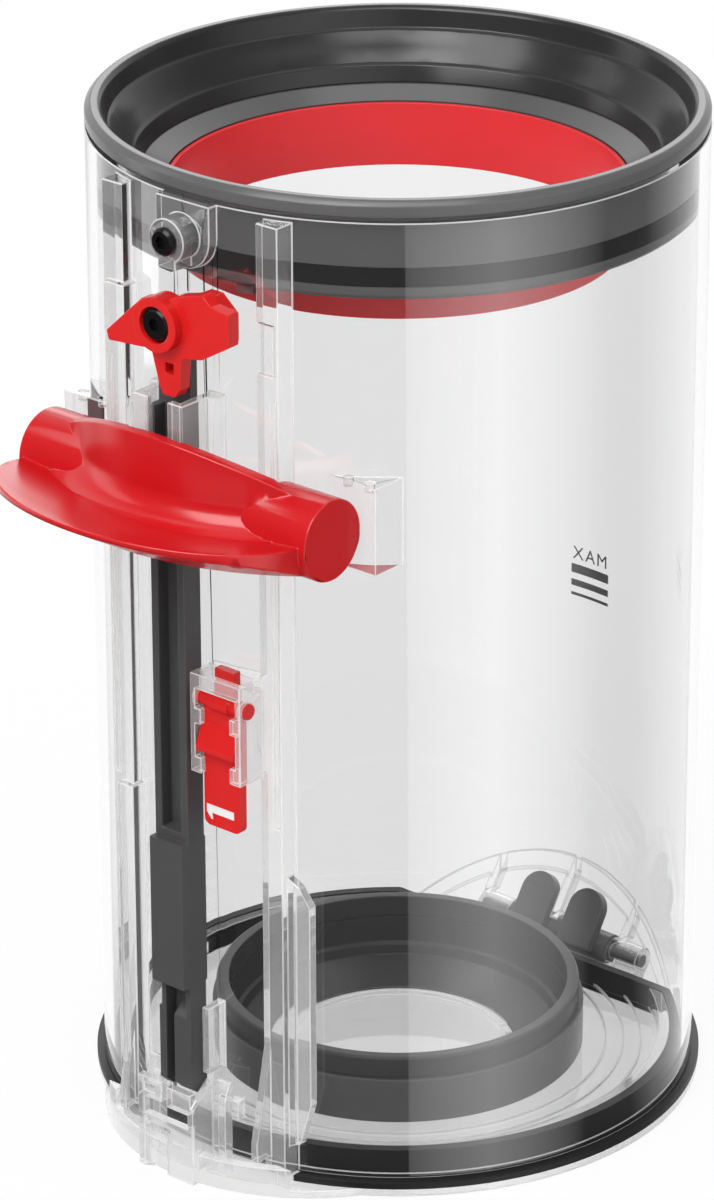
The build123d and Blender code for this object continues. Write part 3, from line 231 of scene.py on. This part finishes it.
# %% [markdown]
# Round the bin there is a white sweep behind it, in a dimmer room. The camera finds both white, also
# through clear walls. Mirror rays find the sweep where they run on past the bin, which keeps the tube's
# sides pale, and the dim room where they turn back, which keeps the dark rings inside it dark. Matt
# surfaces get an even, modest light.

# %% World
SKY_LIGHT = 0.30
ROOM_LIGHT = 0.08
SWEEP_SIDE = (0.15, 0.75)
SWEEP_FOOT = (-0.75, -0.5)

world = bpy.data.worlds.new("studio")
world.use_nodes = True
world.node_tree.nodes.clear()
wire = Wire(world.node_tree)
heading = wire.node("ShaderNodeTexCoord", out="Generated")
onward = dot(wire, heading, -direction(AZIMUTH, 0))
upward = wire.node("ShaderNodeSeparateXYZ", None, {0: heading}, out="Z")
sweep = ramp(wire, onward, SWEEP_SIDE) * ramp(wire, upward, SWEEP_FOOT)
mirrored = wire.node("ShaderNodeLightPath", out="Is Glossy Ray")
room = SKY_LIGHT - (SKY_LIGHT - ROOM_LIGHT) * mirrored
seen = seen_plainly(wire).greater(mirrored * sweep)
sky = wire.node("ShaderNodeBackground", None, {"Color": WHITE, "Strength": room.greater(seen)})
wire.node("ShaderNodeOutputWorld", None, {"Surface": sky})
bpy.context.scene.world = world
bpy.context.scene.view_settings.view_transform = "Standard"
print("world light", SKY_LIGHT, "and white to the camera")

# %% [markdown]
# A key panel high on the latch side models the shapes, a top panel lights the rims, and a fill panel
# softens the right side without showing in the gloss. The others are cards that only show as reflections:
# one on either side of the tube, a low one behind, which the tray of the handle mirrors, and one above the
# camera for the upper edges. With so few lamps it is quickest to pick one at random for each ray, so the
# light tree stays off.

# %% Soft panels
PANELS = (
    # name, azimuth, elevation, distance, width, height, watts, lights the bin, shows in its gloss
    ("key_panel", 0, 48, 1.4, 0.9, 0.9, 17.0, True, True),
    ("top_panel", 220, 80, 1.5, 1.5, 0.7, 3.5, True, True),
    ("fill_panel", 110, 25, 1.4, 0.8, 0.8, 5.0, True, False),
    ("left_card", -65, 12, 1.5, 0.4, 1.8, 4.0, False, True),
    ("right_card", 81, 8, 1.3, 2.2, 2.6, 25.0, False, True),
    ("back_card", 218, 26, 1.5, 0.55, 0.55, 2.0, False, True),
    ("edge_card", 40, 66, 1.4, 0.9, 0.4, 6.0, False, True),
)
for name, azimuth, elevation, distance, width, height, watts, lights, shows in PANELS:
    lamp = bpy.data.lights.new(name, "AREA")
    lamp.shape = "RECTANGLE"
    lamp.size = width
    lamp.size_y = height
    lamp.energy = watts
    panel = bpy.data.objects.new(name, lamp)
    look_from(panel, LOOK_AT + distance * direction(math.radians(azimuth), math.radians(elevation)))
    panel.visible_camera = False
    panel.visible_transmission = False
    panel.visible_diffuse = lights
    panel.visible_glossy = shows
bpy.context.scene.cycles.use_light_tree = False
print("panels:", [p[0] for p in PANELS])

# %% [markdown]
# On the tube the tall card on the right shows a clear left edge and then fades out, so it can't be an even
# panel. The place across a panel runs from 0 to 1, and two ramps on it make the card brightest a little
# left of its middle.

# %% Fade of the right card
CARD_RISE = (-0.25, 0.45)
CARD_FALL = (1.0, 0.45)
card = bpy.data.lights["right_card"]
card.use_nodes = True
card.node_tree.nodes.clear()
wire = Wire(card.node_tree)
on_card = wire.node("ShaderNodeNewGeometry", out="Parametric")
across = wire.node("ShaderNodeSeparateXYZ", None, {0: on_card}, out="X")
fade = ramp(wire, across, CARD_RISE) * ramp(wire, across, CARD_FALL)
glow = wire.node("ShaderNodeEmission", None, {"Color": WHITE, "Strength": fade})
wire.node("ShaderNodeOutputLight", None, {"Surface": glow})
print("right card: rises over", CARD_RISE, "and falls over", CARD_FALL)

# %% [markdown]
# Most of the bin is clear polycarbonate. A flat transparent colour would lose the bright lines along its
# rails, so it is a real refracting shader with a faint grey body and a clear gloss on its outer side.
# Moulded walls are never quite flat, so a very weak wide ripple bends the reflections. Light that is caught
# between many walls looks white, and so do the rails and fittings of the spine, which are a little frosted.
# Lamp light and light that a matt surface has scattered pass straight through, which keeps the pieces
# inside well lit.

# %% Clear moulding
CLEAR_IOR = 1.08
GLOSS_IOR = 2.0
GLOSS_ROUGHNESS = 0.04
TUBE_EDGE = (58.8 * MM, 59.2 * MM)
FITTING_EDGE = (62.8 * MM, 63.8 * MM)
FITTING_BODY = (0.98, 0.98, 0.98, 1)
FITTING_HAZE = 0.14
SMEAR_SCALE = 60.0
SMEAR_HAZE = 0.008
RIPPLE_SCALE = 26.0
RIPPLE_STRENGTH = 0.05
RIPPLE_DEPTH = 0.1 * MM
MILK = (0.88, 0.88, 0.88, 1)
MILK_ROUGHNESS = 0.35
MILK_BY_HEIGHT = {"From Min": 60 * MM, "From Max": 170 * MM, "To Min": 0.24, "To Max": 0.10}
MOST_WALLS = 8.5
WALL_PASSES = (0.95, 0.95, 0.95, 1)


def noise(wire, place, scale, detail):
    return wire.node("ShaderNodeTexNoise", None, {"Vector": place, "Scale": scale, "Detail": detail})


def bumped(wire, height, strength, distance):
    return wire.node("ShaderNodeBump", None, {"Strength": strength, "Distance": distance, "Height": height})


def blend(wire, share, first, second):
    """A colour that is the first at share 0 and the second at share 1."""
    sockets = {"Factor": share, 6: first, 7: second}
    return wire.node("ShaderNodeMix", {"data_type": "RGBA"}, sockets, out=2)


def flat(wire, place):
    """A place seen along the bin's axis: its height is set to 0."""
    return wire.node("ShaderNodeVectorMath", {"operation": "MULTIPLY"}, {0: place, 1: (1, 1, 0)})


def outside(wire, place, edge):
    """0 within the first radius about the bin's axis, and 1 beyond the second."""
    return ramp(wire, length(wire, flat(wire, place)), edge)


def clear_plastic(name, body, haze, frost, white=0.0):
    """Clear moulding: body colour, roughness, and how white its outer fittings and the whole of it are."""
    material, wire = new_tree(name)
    place = object_place(wire)
    off_tube = outside(wire, place, TUBE_EDGE)
    fittings = outside(wire, place, FITTING_EDGE)
    smear = noise(wire, place, SMEAR_SCALE, detail=0.0)
    ripple = noise(wire, place, RIPPLE_SCALE, detail=0.0)
    from_within = wire.node("ShaderNodeNewGeometry", out="Backfacing")
    clear = wire.node("ShaderNodeBsdfPrincipled", None, {
        "Base Color": blend(wire, off_tube, body, FITTING_BODY),
        "Transmission Weight": 1.0,
        "IOR": CLEAR_IOR,
        "Coat Weight": 1 - from_within,
        "Coat IOR": GLOSS_IOR,
        "Coat Roughness": GLOSS_ROUGHNESS,
        "Roughness": haze + SMEAR_HAZE * smear + FITTING_HAZE * fittings,
        "Normal": bumped(wire, ripple, RIPPLE_STRENGTH, RIPPLE_DEPTH),
    })
    milk = wire.node("ShaderNodeBsdfPrincipled", None, {"Base Color": MILK, "Roughness": MILK_ROUGHNESS})
    height = wire.node("ShaderNodeSeparateXYZ", None, {0: place}, out="Z")
    low_down = wire.node("ShaderNodeMapRange", None, {"Value": height, **MILK_BY_HEIGHT})
    walls_passed = wire.node("ShaderNodeLightPath", out="Transmission Depth")
    trapped = wire.maths("GREATER_THAN", walls_passed, MOST_WALLS)
    white_share = (frost * fittings).greater(off_tube * low_down).greater(white).greater(trapped)
    whitened = wire.node("ShaderNodeMixShader", None, {0: white_share, 1: clear, 2: milk})
    passing = wire.node("ShaderNodeBsdfTransparent", None, {"Color": WALL_PASSES})
    to_lamp = wire.node("ShaderNodeLightPath", out="Is Shadow Ray")
    straight = to_lamp.greater(was_scattered(wire))
    mixed = wire.node("ShaderNodeMixShader", None, {0: straight, 1: whitened, 2: passing})
    wire.node("ShaderNodeOutputMaterial", None, {"Surface": mixed})
    return material


clear_tube = clear_plastic("clear_tube", (0.96, 0.96, 0.962, 1), 0.004, 0.16)
clear_base = clear_plastic("clear_base", (0.72, 0.72, 0.722, 1), 0.05, 0.14)
clear_edge = clear_plastic("clear_edge", FITTING_BODY, 0.10, 0.60, white=0.60)
print("clear mouldings:", [m.name for m in (clear_tube, clear_base, clear_edge)])

# %% [markdown]
# The coloured pieces are injection mouldings. They share one recipe: a body colour that drifts a little, as
# pigment does, a fine spark-eroded grain in the bump, and a gloss that is never quite even. Only the
# numbers differ between the glossy red, the satin greys and the rubbers. In the photograph the funnel of
# the collar and the inside of the grey ring are much darker than their outsides, so the recipe can also
# paint shade into the colour of faces that look towards the axis: a painted shade, not a colour of the
# plastic.

# %% Moulded plastics and rubbers
CLOUD_SCALE = 45.0
CLOUD_DETAIL = 3.0
GRAIN_DETAIL = 2.0
GRAIN_STRENGTH = 0.35
GLOSS_SWING = 0.03
COAT_ROUGHNESS = 0.12
# how the painted shade sets in on faces that turn towards the bin's axis
INWARD_SHADE_TURN = (12 * MM, -12 * MM)


def moulding(name, colour, gloss, grain, grain_depth,
             drift=0.08, coat=0.0, metallic=0.0, sheen=0.5, inward_shade_share=1.0):
    """A moulded finish: body colour, roughness, grain per metre, its depth in mm, how far the colour drifts,
    and last the share of the colour that is left on faces that look towards the bin's axis, as painted
    shade."""
    material, wire = new_tree(name)
    place = object_place(wire)
    cloud = noise(wire, place, CLOUD_SCALE, CLOUD_DETAIL)
    fine = noise(wire, place, grain, GRAIN_DETAIL)
    dark = tuple(c * (1 - drift) for c in colour) + (1,)
    pale = tuple(min(1.0, c * (1 + drift)) for c in colour) + (1,)
    body = blend(wire, cloud, dark, pale)
    # painted shade: faces that look towards the bin's axis get a darker body colour
    if inward_shade_share < 1:
        facing = wire.node("ShaderNodeTexCoord", out="Normal")
        painted_inward_shade = ramp(wire, dot(wire, flat(wire, place), facing), INWARD_SHADE_TURN)
        body = blend(wire, painted_inward_shade, body, tuple(c * inward_shade_share for c in colour) + (1,))
    shader = wire.node("ShaderNodeBsdfPrincipled", None, {
        "Base Color": body,
        "Roughness": gloss - GLOSS_SWING / 2 + GLOSS_SWING * fine,
        "Metallic": metallic,
        "Specular IOR Level": sheen,
        "Coat Weight": coat,
        "Coat Roughness": COAT_ROUGHNESS,
        "Normal": bumped(wire, fine, GRAIN_STRENGTH, grain_depth * MM),
    })
    wire.node("ShaderNodeOutputMaterial", None, {"Surface": shader})
    return material


RED = {"drift": 0.03, "sheen": 0.45}
handle_red = moulding("handle_red", (0.58, 0.008, 0.012), 0.23, 2600, 0.002, coat=0.1, **RED)
latch_red = moulding("latch_red", (0.68, 0.011, 0.011), 0.25, 2600, 0.002, coat=0.2, **RED)
wiper_red = moulding("wiper_red", (0.72, 0.026, 0.032), 0.36, 1800, 0.004, drift=0.05)
COLLAR_GREY = (0.110, 0.110, 0.112)
# painted shade on faces towards the axis: the funnel here, and the inside of the ring below
collar_moulding = moulding("collar_moulding", COLLAR_GREY, 0.22, 1900, 0.003, sheen=0.3, inward_shade_share=0.25)
rod_moulding = moulding("rod_moulding", (0.068, 0.068, 0.070), 0.32, 1900, 0.004)
ring_moulding = moulding("ring_moulding", (0.120, 0.120, 0.122), 0.26, 1900, 0.003, inward_shade_share=0.4)
hinge_moulding = moulding("hinge_moulding", (0.130, 0.130, 0.132), 0.30, 1900, 0.004)
gasket_gloss = moulding("gasket_gloss", (0.070, 0.070, 0.073), 0.16, 900, 0.002, coat=0.6)
band_rubber = moulding("band_rubber", (0.008, 0.008, 0.0085), 0.46, 1400, 0.006)
ring_rubber = moulding("ring_rubber", (0.060, 0.060, 0.062), 0.34, 1500, 0.004)
screw_black = moulding("screw_black", (0.012, 0.012, 0.013), 0.28, 3000, 0.004, metallic=0.6)
wire_steel = moulding("wire_steel", (0.62, 0.62, 0.63), 0.30, 3000, 0.002, drift=0.03, metallic=1.0)
print("red finishes:", [m.name for m in (handle_red, latch_red, wiper_red)])

# %% [markdown]
# Each piece of the bin is one material all through, as it leaves its mould, so a piece gets a single
# finish. The table lists the pieces by finish, which shows at a glance what was moulded from the same
# stock.

# %% Finish on every CAD node
FINISHES = {
    clear_tube: ("clear_bin",),
    clear_base: ("base_plate",),
    handle_red: ("push_handle",),
    latch_red: ("release_rocker", "bin_catch"),
    wiper_red: ("wiper_ring",),
    collar_moulding: ("top_collar", "clamp_ring"),
    rod_moulding: ("push_rod",),
    hinge_moulding: ("hinge_bracket",),
    ring_moulding: ("ring_carrier",),
    gasket_gloss: ("throat_gasket",),
    band_rubber: ("collar_seal", "base_seal"),
    ring_rubber: ("ring_seal",),
    screw_black: ("collar_screw", "rocker_screw"),
    wire_steel: ("hinge_pin", "rod_spring"),
}
for finish, names in FINISHES.items():
    for name in names:
        nodes[name].data.materials.clear()
        nodes[name].data.materials.append(finish)
print("dressed", sum(len(names) for names in FINISHES.values()), "of", len(nodes), "nodes")

# %% [markdown]
# The edges of a moulding are never quite sharp, and it is the small rounding that catches the light: every
# rail, lip and rib of the bin shows as a bright line. The rounding is added with a bevel on edges that turn
# sharply. The CAD faces meet without sharing corners, so they are welded first. On the clear pieces the
# rounded edge gets a whiter finish, because light that runs inside a clear wall comes out along its edges.

# %% Rounded edges
EDGE_WIDTHS = {
    "push_handle": 0.30, "top_collar": 0.25, "clamp_ring": 0.20, "ring_carrier": 0.25, "ring_seal": 0.25,
    "wiper_ring": 0.20, "push_rod": 0.20, "hinge_bracket": 0.15, "release_rocker": 0.12, "bin_catch": 0.12,
    "clear_bin": 0.22, "base_plate": 0.20,
}
CLEAR_PIECES = ("clear_bin", "base_plate")
WELD_REACH = 0.004 * MM
EDGE_STEPS = 2
SHARP_TURN = 28
HANDLE_TURN = 62  # the handle's flowing faces meet at lesser turns that stay as they are

for name, width in EDGE_WIDTHS.items():
    weld = nodes[name].modifiers.new("join_faces", "WELD")
    weld.merge_threshold = WELD_REACH
    edge = nodes[name].modifiers.new("rounded_edges", "BEVEL")
    edge.width = width * MM
    edge.segments = EDGE_STEPS
    edge.limit_method = "ANGLE"
    edge.angle_limit = math.radians(HANDLE_TURN if name == "push_handle" else SHARP_TURN)
    edge.use_clamp_overlap = False
    shade = nodes[name].modifiers.new("even_shading", "WEIGHTED_NORMAL")
    shade.keep_sharp = True
    if name in CLEAR_PIECES:
        nodes[name].data.materials.append(clear_edge)
        edge.material = 1
print("rounded the edges of", len(EDGE_WIDTHS), "pieces")

# %% [markdown]
# The floor of the door is stiffened by low rings, moulded with it. They are seen through the tube as pale
# lines between the grey ring and the black rim seal. Each is a small trapezium spun about the bin's axis,
# and stops short of the hinge pocket on both sides.

# %% Floor rings
RING_RADII = (41.5, 45.0, 48.5)
RING_FOOT = 0.9
RING_CREST = 0.4  # width of the crest as a share of the foot
RING_RISE = 0.45
FLOOR_TOP = 3.4
RING_ARC = math.radians(250)
RING_STEPS = 100


def settle(piece):
    """Applies the place, turn and size of a piece, so that its object stands at the origin."""
    bpy.ops.object.select_all(action="DESELECT")
    piece.select_set(True)
    bpy.context.view_layer.objects.active = piece
    bpy.ops.object.transform_apply(location=True, rotation=True, scale=True)


for row, radius in enumerate(RING_RADII):
    middle = (0, -radius * MM, (FLOOR_TOP + RING_RISE / 2) * MM)
    bpy.ops.mesh.primitive_plane_add(size=MM, location=middle, rotation=(0, math.radians(90), 0))
    ridge = bpy.context.object
    ridge.name = "floor_ring_%d" % (row + 1)
    ridge.scale = (RING_RISE, RING_FOOT, 1)
    settle(ridge)
    for vertex in ridge.data.vertices:
        vertex.select = vertex.co.z > middle[2]
    bpy.ops.object.mode_set(mode="EDIT")
    bpy.ops.mesh.select_mode(type="VERT")
    bpy.ops.transform.resize(value=(1, RING_CREST, 1))
    bpy.ops.mesh.select_all(action="SELECT")
    bpy.ops.mesh.spin(steps=RING_STEPS, angle=RING_ARC, center=(0, 0, 0), axis=(0, 0, 1))
    bpy.ops.mesh.select_all(action="SELECT")
    bpy.ops.mesh.normals_make_consistent(inside=False)
    bpy.ops.object.mode_set(mode="OBJECT")
    ridge.rotation_euler[2] = -RING_ARC / 2
    settle(ridge)
    ridge.data.materials.append(clear_edge)
    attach(ridge, "door")
    print(ridge.name, [round(1000 * d, 2) for d in ridge.dimensions], len(ridge.data.polygons), "faces")

# %% [markdown]
# The fill level is printed on the outside of the tube, opposite the latch: three bars that thin out
# downwards, and the word MAX above them. It is screen-printed ink, a few hundredths of a millimetre thick,
# so each mark is laid flat, wrapped onto the tube and given that thickness. It reads from outside, so the
# camera sees it mirrored.

# %% Level mark
MARK_X = 1.9
BAR_WIDTH = 9.8
BARS = ((84.73, 1.94), (81.64, 1.42), (79.18, 0.65))  # middle height and thickness, mm
BAR_CUTS = 11
WORD_LOW = 86.9
WORD_HEIGHT = 2.85
CAPITAL = 0.73  # height of a capital in the built-in font at size 1
LETTER_SPACE = 1.2
LETTER_STEPS = 4
FRONT_OF_MARK = 64 * MM
INK_GAP = 0.03 * MM
INK_THICK = 0.03 * MM
FACING_OUT = (math.radians(90), 0, math.radians(180))

ink_grey = moulding("ink_grey", (0.07, 0.07, 0.072), 0.45, 1500, 0.005)


def add_film(piece):
    """Gives a flat print its thickness, outwards."""
    film = piece.modifiers.new("film", "SOLIDIFY")
    film.thickness = INK_THICK
    film.offset = 1.0
    bpy.ops.object.modifier_apply(modifier=film.name)


def print_on_tube(piece):
    """Lays a flat print on the tube behind it, along Y, inks it and fixes it to the bin."""
    wrap = piece.modifiers.new("wrap", "SHRINKWRAP")
    wrap.target = nodes["clear_bin"]
    wrap.wrap_method = "PROJECT"
    wrap.use_project_y = True
    wrap.use_project_x = False
    wrap.use_project_z = False
    wrap.use_negative_direction = True
    wrap.use_positive_direction = False
    wrap.offset = INK_GAP
    bpy.ops.object.modifier_apply(modifier=wrap.name)
    add_film(piece)
    piece.data.materials.append(ink_grey)
    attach(piece, "bin")
    print(piece.name, [round(1000 * d, 2) for d in piece.dimensions])


for row, (height, thickness) in enumerate(BARS):
    middle = (MARK_X * MM, FRONT_OF_MARK, height * MM)
    bpy.ops.mesh.primitive_plane_add(size=MM, location=middle, rotation=FACING_OUT)
    bar = bpy.context.object
    bar.name = "level_bar_%d" % (row + 1)
    bar.scale = (BAR_WIDTH, thickness, 1)
    settle(bar)
    bpy.ops.object.mode_set(mode="EDIT")
    bpy.ops.mesh.select_all(action="SELECT")
    bpy.ops.mesh.subdivide(number_cuts=BAR_CUTS)
    bpy.ops.object.mode_set(mode="OBJECT")
    print_on_tube(bar)

bpy.ops.object.text_add(location=(MARK_X * MM, FRONT_OF_MARK, WORD_LOW * MM), rotation=FACING_OUT)
word = bpy.context.object
word.name = "level_word"
word.data.body = "MAX"
word.data.align_x = "CENTER"
word.data.space_character = LETTER_SPACE
word.data.size = WORD_HEIGHT / CAPITAL * MM
word.data.resolution_u = LETTER_STEPS
bpy.ops.object.convert(target="MESH")
word = bpy.context.object
settle(word)
print_on_tube(word)

# %% [markdown]
# The catch carries a white figure 1, turned on its side. It is a plain print on the flat of the tongue,
# built from a bar with a slanting flag at its left end.

# %% Figure on the catch
FIGURE_X = (6.7, 13.4)
FIGURE_Z = (78.1, 79.7)
FLAG = (1.3, 1.3)
FLAG_TIP = 0.35  # width of the flag's tip as a share of its root
NEAR = 0.01 * MM

ink_white = moulding("ink_white", (0.80, 0.80, 0.80), 0.4, 1500, 0.005)
catch = nodes["bin_catch"]
catch_points = [catch.matrix_world @ v.co for v in catch.data.vertices]
catch_front = min(p.y for p in catch_points if p.z < FIGURE_Z[0] * MM)
middle = (sum(FIGURE_X) / 2 * MM, catch_front - INK_GAP, sum(FIGURE_Z) / 2 * MM)
bpy.ops.mesh.primitive_plane_add(size=MM, location=middle, rotation=(math.radians(90), 0, 0))
figure = bpy.context.object
figure.name = "catch_figure"
figure.scale = (FIGURE_X[1] - FIGURE_X[0], FIGURE_Z[1] - FIGURE_Z[0], 1)
settle(figure)
flag_end = (FIGURE_X[0] + FLAG[0]) * MM
bpy.ops.object.mode_set(mode="EDIT")
bpy.ops.mesh.select_all(action="SELECT")
bpy.ops.mesh.bisect(plane_co=(flag_end, 0, 0), plane_no=(1, 0, 0))
bpy.ops.mesh.select_all(action="DESELECT")
bpy.ops.object.mode_set(mode="OBJECT")
for edge in figure.data.edges:
    ends = [figure.data.vertices[i].co for i in edge.vertices]
    low = all(abs(e.z - FIGURE_Z[0] * MM) < NEAR for e in ends)
    left = all(e.x < flag_end + NEAR for e in ends)
    edge.select = low and left
bpy.ops.object.mode_set(mode="EDIT")
bpy.ops.mesh.select_mode(type="EDGE")
bpy.ops.mesh.extrude_region_move(TRANSFORM_OT_translate={"value": (FLAG[0] / 2 * MM, 0, -FLAG[1] * MM)})
bpy.ops.transform.resize(value=(FLAG_TIP, 1, 1))
bpy.ops.object.mode_set(mode="OBJECT")
add_film(figure)
figure.data.materials.append(ink_white)
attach(figure, "catch")
print(figure.name, [round(1000 * d, 2) for d in figure.dimensions])
